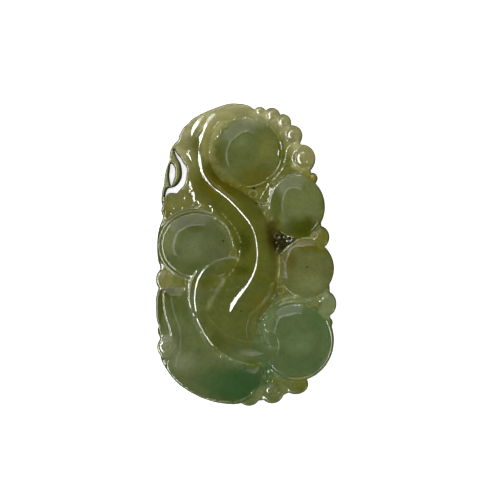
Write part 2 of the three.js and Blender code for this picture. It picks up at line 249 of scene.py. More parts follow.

# Fine raised lines left between the forms: points, rise, half width, how strongly a pale highlight is painted
# on them
lines = [
    (
        [
            (7.4, 17.9), (6.85, 17.3), (6.5, 15.6), (6.1, 14.1), (4.8, 12.5), (3.6, 11.2), (2.6, 9.5),
            (1.9, 8.7),
        ],
        0.11, 0.16, 0.3,
    ),
    ([(5.5, 17.0), (5.45, 16.4), (5.35, 15.8)], 0.26, 0.28, 0),
    ([(5.2, 14.1), (4.5, 13.1), (3.2, 12.3)], 0.12, 0.16, 0.2),
    ([(2.0, 8.5), (2.6, 7.4), (3.3, 6.2)], 0.06, 0.13, 0.3),
    ([(3.2, 8.4), (3.4, 7.2), (3.9, 6.2)], 0.05, 0.13, 0.3),
    ([(4.0, 10.4), (3.75, 9.0), (3.9, 7.6)], 0.11, 0.22, 0),
    ([(12.7, 8.0), (12.4, 6.9), (11.8, 5.7), (11.1, 4.6), (10.3, 3.9)], 0.062, 0.2, 0.1),
    ([(8.4, 2.4), (6.6, 0.95), (5.6, -0.2), (5.45, -2.2), (5.35, -4.5)], 0.08, 0.14, 0.4),
    ([(8.4, 2.45), (9.6, 2.7), (10.6, 2.75)], 0.08, 0.14, 0.4),
    ([(5.45, -4.5), (4.95, -6.15), (4.3, -7.1)], 0.07, 0.14, 0.3),
    ([(6.1, -5.0), (7.3, -6.05), (8.4, -6.65), (9.9, -7.05), (11.9, -6.8)], 0.07, 0.14, 0.3),
    ([(2.35, -10.5), (3.86, -8.6), (5.9, -7.45), (8.2, -7.0), (10.5, -7.5)], 0.09, 0.13, 0.3),
    ([(1.5, -10.6), (1.75, -12.4), (2.5, -14.1)], 0.06, 0.13, 0.1),
    ([(2.0, -11.9), (2.5, -13.4), (3.3, -14.7), (4.8, -15.55)], 0.13, 0.18, 0.25),
    ([(3.95, -12.35), (5.1, -13.3), (5.4, -14.9), (4.9, -16.4)], 0.055, 0.18, 0.2),
    ([(-5.3, -3.2), (-4.4, -3.6), (-3.4, -3.1)], 0.05, 0.16, 0.15),
    ([(-5.46, 6.2), (-3.35, 4.8), (-2.3, 2.66), (-1.93, 1.02)], 0.055, 0.12, 0.45),
    ([(-3.8, 6.7), (-1.7, 4.1), (-0.87, 1.96), (-1.1, -0.39)], 0.011, 0.12, 0.4),
    ([(-1.15, -0.4), (-1.7, -1.9), (-2.6, -3.2), (-3.9, -4.6)], 0.07, 0.15, 0.4),
    ([(-3.7, -4.4), (-4.6, -5.8), (-5.6, -7.4), (-6.2, -8.8)], 0.32, 1.0, 0.2),
    (
        [(-7.9, -10.4), (-6.5, -13.2), (-4.3, -15.7), (-1.5, -17.4), (0.7, -18.0), (2.6, -17.6)],
        0.1, 0.2, 0.15,
    ),
    (
        [
            (-9.6, -21.9), (-6.8, -23.5), (-4.3, -24.05), (-2.3, -24.2), (-0.7, -23.85), (0.8, -22.95),
            (1.65, -21.7),
        ],
        0.24, 0.28, 0.1,
    ),
    ([(-6.3, -9.9), (-4.6, -11.9), (-2.6, -13.4), (0.0, -14.2), (1.9, -14.1)], 0.1, 0.5, 0.06),
]
strokes = [  # short raised strokes in the sunk ground, from and to
    (2.9, -18.3, 3.3, -18.9), (3.6, -18.6, 3.9, -19.4), (2.8, -19.6, 3.1, -20.4), (3.9, -20.2, 3.5, -20.9),
    (5.0, 1.9, 5.4, 1.5), (5.2, 0.9, 5.0, 0.3), (6.3, 2.9, 6.7, 2.6), (7.6, 3.0, 8.0, 2.5),
    (2.1, -11.2, 2.3, -11.8), (3.0, -10.5, 3.4, -10.0), (3.3, -12.2, 3.7, -12.6),
]
strokeLook = {"rise": 0.1, "halfWidth": 0.18, "paintedHighlight": 0.12}
lines += [([(a, b), (c, d)], *strokeLook.values()) for a, b, c, d in strokes]
lineLook = {
    "softFrom": 0.5,  # lines with at least this half width are soft swellings
    "breaks": 0.9,  # how unevenly a line rises
    "softBreaks": 0.15,
    "highlightWidth": 0.16,
    "softHighlight": 0.55,  # over the half width, where that is wider
    "softBreakup": 0.25,  # how far a soft painted highlight is broken up in places
    "breakupFade": (-0.4, 0.5),  # values of the noise, from broken up to whole
}
dimples = [  # x, y, half width, half height and depth of the hollow at the end of each curl
    (3.8, -13.9, 1.3, 1.8, 0.16),
    (-4.6, -2.6, 1.3, 1.0, 0.06),
]

plateOutline = [  # of the stone, before the round forms widen it
    (-2.3, 24.97), (-1.0, 24.9), (0.0, 24.75), (0.7, 24.5), (1.5, 24.0), (4.3, 23.2), (6.7, 21.6),
    (8.5, 19.1), (10.3, 16.0), (10.9, 12.6), (12.0, 8.0), (12.7, 2.9), (13.6, -2.2), (13.9, -8.1),
    (13.7, -14.1), (12.0, -18.2), (9.2, -21.3), (5.4, -23.5), (0.6, -24.3), (-1.1, -24.6), (-2.3, -24.7),
    (-4.3, -24.5), (-5.95, -24.1), (-7.6, -23.5), (-9.25, -22.65), (-10.9, -21.55), (-12.2, -20.25),
    (-13.1, -19.0), (-13.85, -17.7), (-14.1, -16.7), (-14.0, -14.6), (-14.3, -13.5), (-14.55, -12.9),
    (-14.55, -12.4), (-14.4, -11.8), (-14.7, -10.9), (-14.83, -9.8), (-14.87, -8.5), (-14.85, -7.1),
    (-14.6, -6.0), (-14.1, -4.1), (-14.2, -2.0), (-14.5, -1.1), (-14.65, 0.1), (-14.7, 1.4), (-14.6, 3.1),
    (-14.35, 4.4), (-14.0, 5.4), (-13.72, 6.2), (-13.95, 6.95), (-13.99, 7.45), (-13.8, 8.05),
    (-13.98, 8.8), (-13.92, 9.85), (-13.8, 10.7), (-13.55, 11.65), (-13.48, 12.65), (-13.2, 14.0),
    (-12.87, 15.0), (-12.63, 15.65), (-12.62, 16.45), (-12.45, 17.3), (-12.05, 18.05), (-11.55, 18.6),
    (-11.18, 18.95), (-11.05, 19.6), (-10.7, 20.35), (-10.25, 21.05), (-9.45, 21.7), (-9.0, 22.25),
    (-7.9, 22.95), (-6.6, 23.6), (-4.95, 24.25), (-3.5, 24.75),
]
openings = [  # right through the stone, beside the scrolls
    [
        (-12.45, 15.05), (-12.05, 14.8), (-11.7, 14.05), (-11.75, 13.0), (-12.05, 12.05), (-12.35, 11.35),
        (-12.57, 12.0), (-12.7, 13.15), (-12.6, 14.2),
    ],
    [
        (-11.85, 17.25), (-11.35, 16.6), (-10.8, 15.95), (-10.35, 15.15), (-9.8, 14.25), (-9.85, 13.15),
        (-10.0, 12.15), (-10.3, 11.4), (-10.9, 10.8), (-11.45, 10.2), (-12.4, 10.25), (-12.95, 10.0),
        (-13.35, 9.55), (-13.25, 10.25), (-12.9, 10.95), (-12.05, 11.15), (-11.4, 11.55), (-10.85, 12.3),
        (-10.6, 13.2), (-10.65, 14.3), (-10.9, 15.2), (-11.45, 16.2),
    ],
]


def spline(points, count, closed=False):
    points = np.asarray(points, float)
    spans = len(points) if closed else len(points) - 1
    t = np.linspace(0, spans, count, endpoint=not closed)
    i = np.minimum(t.astype(int), spans - 1)
    f = (t - i)[:, None]
    last = len(points) - 1
    picks = [k % len(points) if closed else np.clip(k, 0, last) for k in (i - 1, i, i + 1, i + 2)]
    a, b, c, d = (points[k] for k in picks)
    return 0.5 * (2 * b + (c - a) * f + (2 * a - 5 * b + 4 * c - d) * f**2 + (3 * b - a - 3 * c + d) * f**3)


def treeOf(points):
    tree = kdtree.KDTree(len(points))
    for k, (x, y) in enumerate(points):
        tree.insert((x, y, 0), k)
    tree.balance()
    return tree


def nearest(spots, tree):  # index and distance
    found = [tree.find((x, y, 0))[1:] for x, y in spots]
    near, away = zip(*found)
    return np.array(near), np.array(away)


def softMax(a, b, blend):
    h = np.clip(0.5 + 0.5 * (a - b) / blend, 0, 1)
    return b + (a - b) * h + blend * h * (1 - h)


def rolled(inset, width):  # 0 at the edge, 1 from the given width inwards, upright at the edge
    return np.sqrt(1 - (1 - np.clip(inset / width, 0, 1)) ** 2)


def ramp(value, width):  # rises at slope 1 from 0 to the width, level before and after it
    soft = carving["faceRound"]
    low, high = (0.5 * (v + np.sqrt(v * v + soft * soft)) for v in (value, value - width))
    return low - high


def valueNoise(spots, cell, seed):
    size = 97  # the pattern comes again after this many cells
    table = np.random.default_rng(seed).uniform(-1, 1, (size, size))
    corner = np.floor(spots / cell).astype(int)
    f = spots / cell - corner
    f = f * f * (3 - 2 * f)
    (i, j), (u, v) = corner.T % size, f.T
    k, m = (i + 1) % size, (j + 1) % size
    low = table[i, j] * (1 - u) + table[k, j] * u
    high = table[i, m] * (1 - u) + table[k, m] * u
    return low * (1 - v) + high * v


def smoothStep(low, high, value):
    t = np.clip((value - low) / (high - low), 0, 1)
    return t * t * (3 - 2 * t)


def evenly(ring, step):  # the closed ring again, at equal distances
    closed = np.vstack([ring, ring[:1]])
    run = np.concatenate([[0], np.cumsum(np.linalg.norm(np.diff(closed, axis=0), axis=1))])
    at = np.linspace(0, run[-1], int(run[-1] / step), endpoint=False)
    return np.column_stack([np.interp(at, run, closed[:, 0]), np.interp(at, run, closed[:, 1])])


def insidePolygon(spots, ring):
    inside = np.zeros(len(spots), bool)
    x, y = spots.T
    for (ax, ay), (bx, by) in zip(ring, np.roll(ring, -1, 0)):
        if by != ay:
            crosses = (ay > y) != (by > y)
            inside ^= crosses & (x < (bx - ax) * (y - ay) / (by - ay) + ax)
    return inside


def inBox(spots, points, margin):
    low, high = np.min(points, 0)[:2] - margin, np.max(points, 0)[:2] + margin
    return ((spots > low) & (spots < high)).all(1)


def ridge(away, halfWidth):
    return np.exp(-((away / halfWidth) ** 2) * 2)


def edgeFall(inset, bevel, wall=carving["steep"]):  # bevelled edge inside, a wall outside
    return -carving["bevelSlope"] * np.clip(bevel - inset, 0, bevel) + np.minimum(inset, 0) * wall


def domeLevel(spots, dome):
    (x, y), (rx, ry) = dome["at"], dome["half"]
    reach = np.hypot((spots[:, 0] - x) / rx, (spots[:, 1] - y) / ry)
    radius = math.sqrt(rx * ry)
    inset = (1 - reach) * radius
    share = reach * radius / (radius - dome["rim"])
    level = dome["top"] - dome["crown"] * share**2 + edgeFall(inset - dome["rim"], dome["bevel"])
    if dome["rim"]:
        away = np.abs(inset - carving["rimInset"]) / carving["rimFaces"]
        soft = carving["rimRound"]
        side = np.sqrt(away**2 + soft**2) - soft + carving["rimFall"] * np.clip(away - 1, 0, None)
        lip = dome["top"] - dome["crown"] - carving["rimDrop"]
        sides = side * carving["rimFaces"] * carving["faceSlope"]
        level = softMax(level, lip - sides, carving["rimBlend"])
    return level


def runLevel(spots, run):
    stations = np.array(run["stations"])
    line = spline(stations, samples["run"] * len(stations))
    step = np.gradient(line, axis=0)
    length = np.hypot(step[:, 0], step[:, 1])
    tangent = step[:, :2] / length[:, None]
    near, _ = nearest(spots, treeOf(line[:, :2]))
    offset = spots - line[near, :2]
    side = offset[:, 1] * tangent[near, 0] - offset[:, 0] * tangent[near, 1]
    ahead = (offset * tangent[near]).sum(1)
    sampled = line[near] + step[near] * np.clip(ahead / length[near], -1, 1)[:, None]
    left = side < 0
    width = np.where(left, sampled[:, 2], sampled[:, 3])
    beyond = np.where((near == 0) | (near == len(line) - 1), ahead, 0)
    reach = np.hypot(side, beyond) / width
    top, face = sampled[:, 4], np.maximum(sampled[:, 5], 0)
    leftFall = sampled[:, 6] * np.maximum(-side - face, 0)
    rightFall = np.maximum(top - run["rightEdge"], 0) * reach**2
    level = top - np.where(left, leftFall, rightFall)
    level -= carving["faceSlope"] * ramp(-side, face)
    wall = np.where(left, run["leftWall"], carving["steep"])
    bevel = np.where(left, run["bevel"], 0)
    return level - carving["endFall"] * np.abs(beyond) + edgeFall((1 - reach) * width, bevel, wall)


def pillowLevel(spots, pillow):
    ring = evenly(spline(pillow["outline"], samples["ring"], True), samples["ringStep"])
    _, away = nearest(spots, treeOf(ring))
    inset = np.where(insidePolygon(spots, ring), away, -away)
    wide = pillow["crownWidth"]
    level = pillow["top"] - pillow["crown"] * (1 - np.clip(inset / wide, 0, 1)) ** 2
    start, end = carving["dishFade"]
    level -= pillow["dish"] * smoothStep(wide * start, wide * end, inset)
    return level + edgeFall(inset, pillow["bevel"], pillow["wall"])


def carveForms(spots):
    level = np.full(len(spots), carving["ground"])

    def add(points, margin, shape, *form):  # only the spots around the form are worked out
        close = inBox(spots, points, margin)
        if close.any():
            level[close] = softMax(level[close], shape(spots[close], *form), carving["blend"])

    def beadLevel(spots, x, y, rx, ry, edge, crown):
        reach = np.hypot((spots[:, 0] - x) / rx, (spots[:, 1] - y) / ry)
        fall = np.minimum(1 - reach, 0) * rx * carving["steep"]
        return edge + crown * min(rx, ry) * (1 - reach**2) + fall

    margin = carving["reach"]
    for dome in domes.values():
        add([dome["at"]], max(dome["half"]) + margin, domeLevel, dome)
    for bead in beads:
        add([bead], max(bead[2:4]) + margin, beadLevel, *bead)
    for pillow in pillows.values():
        add(pillow["outline"], margin, pillowLevel, pillow)
    for run in runs.values():
        add(run["stations"], carving["runReach"], runLevel, run)
    return level


closing = {"step": 0.25, "low": (-17.0, -27.0), "count": (137, 217)}  # a grid larger than the stone


def surroundings():  # the forms with narrow grooves closed, on a grid
    step, low, shape = closing["step"], np.array(closing["low"]), closing["count"]
    i, j = np.meshgrid(np.arange(shape[0]), np.arange(shape[1]), indexing="ij")
    level = carveForms(low + step * np.column_stack([i.ravel(), j.ravel()])).reshape(shape)
    reach = int(carving["grooveSpan"] / step)
    for pick in (np.max, np.min):
        for axis in (0, 1):
            level = pick([np.roll(level, k, axis) for k in range(-reach, reach + 1)], 0)
    for axis in (0, 1, 0, 1):
        level = np.mean([np.roll(level, k, axis) for k in (-1, 0, 1)], 0)

    def read(spots):
        whole, part = np.divmod((spots - low) / step, 1)
        (a, b), (u, v) = whole.astype(int).T, part.T
        left = level[a, b] * (1 - v) + level[a, b + 1] * v
        right = level[a + 1, b] * (1 - v) + level[a + 1, b + 1] * v
        return left * (1 - u) + right * u
    return read


def fineRelief(spots, level):  # adds lines, hollows and drill rings to the level, gives back their painted highlights
    paintedHighlight = np.zeros(len(spots))
    highlightBreakup = smoothStep(*lineLook["breakupFade"], valueNoise(spots, **noises["highlightBreakup"]))
    for points, rise, halfWidth, pale in lines:
        close = inBox(spots, points, carving["reach"])
        if not close.any():
            continue
        _, away = nearest(spots[close], treeOf(spline(points, samples["line"] * len(points))))
        soft = halfWidth >= lineLook["softFrom"]
        breaks = lineLook["softBreaks"] if soft else lineLook["breaks"]
        broken = 1 + breaks * valueNoise(spots[close], **noises["breaks"])
        level[close] += rise * broken * ridge(away, halfWidth)
        lineHighlight = ridge(away, max(lineLook["highlightWidth"], lineLook["softHighlight"] * halfWidth))
        share = lineLook["softBreakup"] if soft else 1
        lineHighlight *= 1 - share + share * highlightBreakup[close]
        paintedHighlight[close] = np.maximum(paintedHighlight[close], pale * lineHighlight)
    for x, y, rx, ry, depth in dimples:
        reach = np.hypot((spots[:, 0] - x) / rx, (spots[:, 1] - y) / ry)
        level -= depth * np.clip(1 - reach**2, 0, 1) ** 2
    start, end = seedRing["knobFade"]
    share = seedRing["highlightBreakup"]
    for x, y, radius, pale in seeds:
        away = np.hypot(spots[:, 0] - x, spots[:, 1] - y)
        level += seedRing["knob"] * smoothStep(radius * start, radius * end, away)
        ring = np.exp(-(((away - radius) / seedRing["width"]) ** 2))
        level += seedRing["rise"] * ring
        paintedHighlight = np.maximum(paintedHighlight, pale * ring * (1 - share + share * highlightBreakup))
    return paintedHighlight


def carve(spots, around):  # level, how far it is left unpolished and how much painted highlight it carries
    level = carveForms(spots)
    closed = around(spots)
    ground = smoothStep(*carving["groundFade"], level - carving["ground"])
    cut = np.maximum(ground, smoothStep(*carving["cutFade"], closed - level))
    level = softMax(level, closed - carving["grooveDepth"], carving["grooveBlend"])
    paintedHighlight = fineRelief(spots, level)
    level += carving["waves"] * valueNoise(spots, **noises["waves"])
    grit = valueNoise(spots, **noises["grit"]) + carving["fineGrit"] * valueNoise(spots, **noises["fineGrit"])
    level += carving["grit"] * grit * (carving["polishedGrit"] + cut)
    grains = valueNoise(spots, **noises["grains"]) - carving["grainsFrom"]
    level += carving["grains"] * cut * np.clip(grains, 0, 1)
    return level, cut, paintedHighlight


meshing = {
    "outlineStep": 0.15, "openingStep": 0.1, "frontStep": 0.11, "backStep": 0.8,
    "outlineSamples": 4000, "openingSamples": 600,
    "curved": 0.34,  # where the carving bends more than this, per millimetre, all points are kept
    "sharpMargin": 2,  # and this many points around it
    "frontRings": (0.02, 0.07, 0.15, 0.26, 0.4), "backRings": (0.04, 0.14, 0.3, 0.55, 0.9),
    "openingRings": (0.02, 0.07, 0.14, 0.24),
    "clear": 0.8,  # share of its offset that a ring's point keeps from every edge
    "gridGap": 0.5,  # between the last ring and the grid, over the grid's step
    "weld": 1e-5,
}


def outlineRing():
    count = meshing["outlineSamples"]
    plate = spline(plateOutline, count, True)
    angles = np.arctan2(plate[:, 1], plate[:, 0])
    order = np.argsort(angles)
    theta = np.linspace(-math.pi, math.pi, count, endpoint=False)
    reach = np.interp(theta, angles[order], np.hypot(*plate.T)[order], period=2 * math.pi)
    heading = np.column_stack([np.cos(theta), np.sin(theta)])
    ovals = [(*dome["at"], *dome["half"]) for dome in domes.values()] + [bead[:4] for bead in beads]
    for x, y, rx, ry in ovals:  # where a ray from the middle leaves each round form
        half = np.array([rx, ry])
        start = -np.array([x, y]) / half
        way = heading / half
        a, b, c = (way**2).sum(1), (way * start).sum(1), (start**2).sum() - 1
        inside = b * b - a * c
        hit = inside > 0
        leave = (-b[hit] + np.sqrt(inside[hit])) / a[hit]
        reach[hit] = np.maximum(reach[hit], leave)
    return evenly(heading * reach[:, None], meshing["outlineStep"])


def hexGrid(low, high, step):  # rows by columns by two
    rows = np.arange(low[1], high[1], step * math.sqrt(3) / 2)
    columns = np.arange(low[0], high[0], step)
    x = columns[None, :] + (np.arange(len(rows)) % 2)[:, None] * step / 2
    return np.stack([x, np.broadcast_to(rows[:, None], x.shape)], -1)


def carvedGrid(low, high, around):  # all points where the carving is sharp, a quarter of them elsewhere
    step = meshing["frontStep"]
    grid = hexGrid(low, high, step)
    level = carve(grid.reshape(-1, 2), around)[0].reshape(grid.shape[:2])
    bend = np.zeros_like(level)
    bend[:, 1:-1] = np.abs(level[:, 2:] - 2 * level[:, 1:-1] + level[:, :-2]) / step**2
    bend[2:-2] += np.abs(level[4:] - 2 * level[2:-2] + level[:-4]) / (3 * step**2)  # rows sqrt(3) steps apart
    sharp = bend > meshing["curved"]
    reach = meshing["sharpMargin"]
    for axis in (0, 1):
        sharp = np.any([np.roll(sharp, k, axis) for k in range(-reach, reach + 1)], 0)
    row, column = np.indices(level.shape)
    sparse = (row % 2 == 0) & ((column + row // 2) % 2 == 0)
    return grid[sharp | sparse]


def turned(ring, clockwise):  # the outline clockwise and openings the other way, so that inward is one side
    x, y = ring.T
    area = 0.5 * (x * np.roll(y, -1) - np.roll(x, -1) * y).sum()
    return ring[::-1] if (area > 0) == clockwise else ring


def inStone(spots, rings):
    keep = insidePolygon(spots, rings[0])
    for ring in rings[1:]:
        keep &= ~insidePolygon(spots, ring)
    return keep


def sheetPoints(rings, tree, bands, grid, step):
    # bands of points that follow each edge, then the grid inside them
    layers = []
    for ring, offsets in zip(rings, bands):
        edge = np.roll(ring, -1, 0) - np.roll(ring, 1, 0)
        inward = np.column_stack([edge[:, 1], -edge[:, 0]]) / np.linalg.norm(edge, axis=1)[:, None]
        for offset in offsets:
            layer = ring + inward * offset
            _, away = nearest(layer, tree)
            layers.append(layer[away > offset * meshing["clear"]])
    grid = grid[inStone(grid, rings)]
    near, away = nearest(grid, tree)
    band = np.where(near < len(rings[0]), max(bands[0]), max(bands[1]))
    layers.append(grid[away > band + step * meshing["gridGap"]])
    return np.vstack(layers)


def triangulate(rings, spots):
    everything = np.vstack([*rings, spots])
    edges, start = [], 0
    for ring in rings:
        count = len(ring)
        edges += [(start + k, start + (k + 1) % count) for k in range(count)]
        start += count
    flat = [Vector((x, y)) for x, y in everything]
    verts, _, faces, *_ = delaunay_2d_cdt(flat, edges, [], 0, meshing["weld"], False)
    assert len(verts) == len(flat), "the triangulation merged points"
    faces = np.array([tuple(face) for face in faces])
    return faces[inStone(everything[faces].mean(1), rings)]


def buildPendant():
    rings = [turned(outlineRing(), True)]
    for points in openings:
        ring = spline(points, meshing["openingSamples"], True)
        rings.append(turned(evenly(ring, meshing["openingStep"]), False))
    border = np.vstack(rings)
    tree = treeOf(border)
    print("outline", len(rings[0]), "points, openings", [len(ring) for ring in rings[1:]])

    openingBands = [meshing["openingRings"]] * len(openings)
    low, high = border.min(0), border.max(0)
    around = surroundings()
    grid = carvedGrid(low, high, around)
    front = sheetPoints(rings, tree, [meshing["frontRings"], *openingBands], grid, meshing["frontStep"])
    grid = hexGrid(low, high, meshing["backStep"]).reshape(-1, 2)
    back = sheetPoints(rings, tree, [meshing["backRings"], *openingBands], grid, meshing["backStep"])
    girdle = carving["girdle"]
    near, frontInset = nearest(front, tree)
    roll = np.where(near < len(rings[0]), carving["edgeRoll"], carving["holeRoll"])
    level, cut, paintedHighlight = carve(front, around)
    frontZ = girdle + (level - girdle) * rolled(frontInset, roll)
    near, backInset = nearest(back, tree)
    roll = np.where(near < len(rings[0]), carving["backRoll"], carving["holeRoll"])
    backZ = girdle * (1 - rolled(backInset, roll))

    edgeCount, frontCount = len(border), len(front)
    verts = np.vstack([
        np.column_stack([border, np.full(edgeCount, girdle)]),
        np.column_stack([front, frontZ]),
        np.column_stack([back, backZ]),
    ])
    frontFaces = triangulate(rings, front)
    backFaces = triangulate(rings, back)
    shifted = np.where(backFaces >= edgeCount, backFaces + frontCount, backFaces)
    faces = np.vstack([frontFaces, shifted[:, ::-1]])  # the back faces down
    print("pendant mesh", len(verts), "points,", len(faces), "triangles, top", round(verts[:, 2].max(), 3))

    mesh = bpy.data.meshes.new("carvedStone")
    mesh.from_pydata((verts * mm).tolist(), [], faces.tolist())
    mesh.polygons.foreach_set("use_smooth", np.ones(len(faces), bool))
    masks = {
        "inset": np.concatenate([np.zeros(edgeCount), frontInset, backInset]),
        "cut": np.concatenate([np.zeros(edgeCount), cut, np.zeros(len(back))]),
        "paintedHighlight": np.concatenate([np.zeros(edgeCount), paintedHighlight, np.zeros(len(back))]),
    }
    for name, values in masks.items():
        layer = mesh.attributes.new(name, "FLOAT", "POINT")
        layer.data.foreach_set("value", values.astype(np.float32))
    mesh.update()
    pendant = bpy.data.objects.new("carvedPendant", mesh)
    bpy.context.collection.objects.link(pendant)
    return pendant


class Wire:
    def __init__(self, tree, socket=None):
        self.tree = tree
        self.socket = socket

    def node(self, kind, settings=None, inputs=None, out=0):
        made = self.tree.nodes.new(kind)
        for name, value in (settings or {}).items():
            setattr(made, name, value)
        for name, value in (inputs or {}).items():
            if isinstance(value, Wire):
                self.tree.links.new(value.socket, made.inputs[name])
            else:
                made.inputs[name].default_value = value
        return Wire(self.tree, made.outputs[out])

    def math(self, operation, *values):
        return self.node("ShaderNodeMath", {"operation": operation}, dict(enumerate(values)))

    def vector(self, operation, *values, out=0):
        return self.node("ShaderNodeVectorMath", {"operation": operation}, dict(enumerate(values)), out)

    def __add__(self, other):
        return self.math("ADD", self, other)

    __radd__ = __add__

    def __mul__(self, other):
        return self.math("MULTIPLY", self, other)

    __rmul__ = __mul__

    def __sub__(self, other):
        return self.math("SUBTRACT", self, other)

    def __rsub__(self, other):
        return self.math("SUBTRACT", other, self)

    def step(self, low, high):
        ranges = {"Value": self, "From Min": low, "From Max": high}
        return self.node("ShaderNodeMapRange", {"interpolation_type": "SMOOTHSTEP"}, ranges)

    def mix(self, first, second, share):
        colours = {0: share, 6: first, 7: second}
        return self.node("ShaderNodeMix", {"data_type": "RGBA"}, colours, out=2)

    def scaled(self, factor):
        return self.node("ShaderNodeVectorMath", {"operation": "SCALE"}, {0: self, "Scale": factor})

    def noise(self, scale, detail, roughness, out=0):
        values = {"Vector": self, "Scale": scale, "Detail": detail, "Roughness": roughness}
        return self.node("ShaderNodeTexNoise", None, values, out)


def srgb(*levels):  # red, green and blue from 0 to 255
    shares = [level / 255 for level in levels]
    linear = [v / 12.92 if v < 0.04045 else ((v + 0.055) / 1.055) ** 2.4 for v in shares]
    return (*linear, 1.0)


white = (1.0, 1.0, 1.0, 1.0)
jade = {
    "body": srgb(84, 87, 26),
    "cream": srgb(153, 150, 106),  # along the upper edge
    "creamInset": (1.2, 4.2),
    "creamHeight": (12.0, 19.0),
    "creamShare": 0.7,
    "edge": srgb(52, 56, 22),  # painted shade: the dark line that the steep rolled edge shows around the stone and its openings
    "edgeShadeInset": (0.04, 0.5),
    "edgeShadeShare": 0.55,
    # painted highlight: pale colour laid along the fine lines, strokes and drill rings
    "paintedHighlight": srgb(182, 182, 136),
    "sway": 1.6,  # how far the borders of the colour zones wander
    "zoneEnd": 1.1,  # where a zone has faded out, over its half size
    "fleckFade": (0.56, 0.72),
    "roughness": 0.06,
    "cutRoughness": 0.2,
    "index": 1.62,
    "scatter": 0.5,
    "scatterScale": 0.0015,
    "scatterRadius": (0.9, 1.0, 0.45),
}
jadeNoises = {  # scale, detail, roughness
    "sway": (0.5, 3.0, 0.5),
    "clouds": (0.4, 6.0, 0.65),
    "grain": (2.2, 6.0, 0.68),
    "flecks": (1.1, 7.0, 0.72),
    "fine": (6.0, 3.0, 0.7),
}
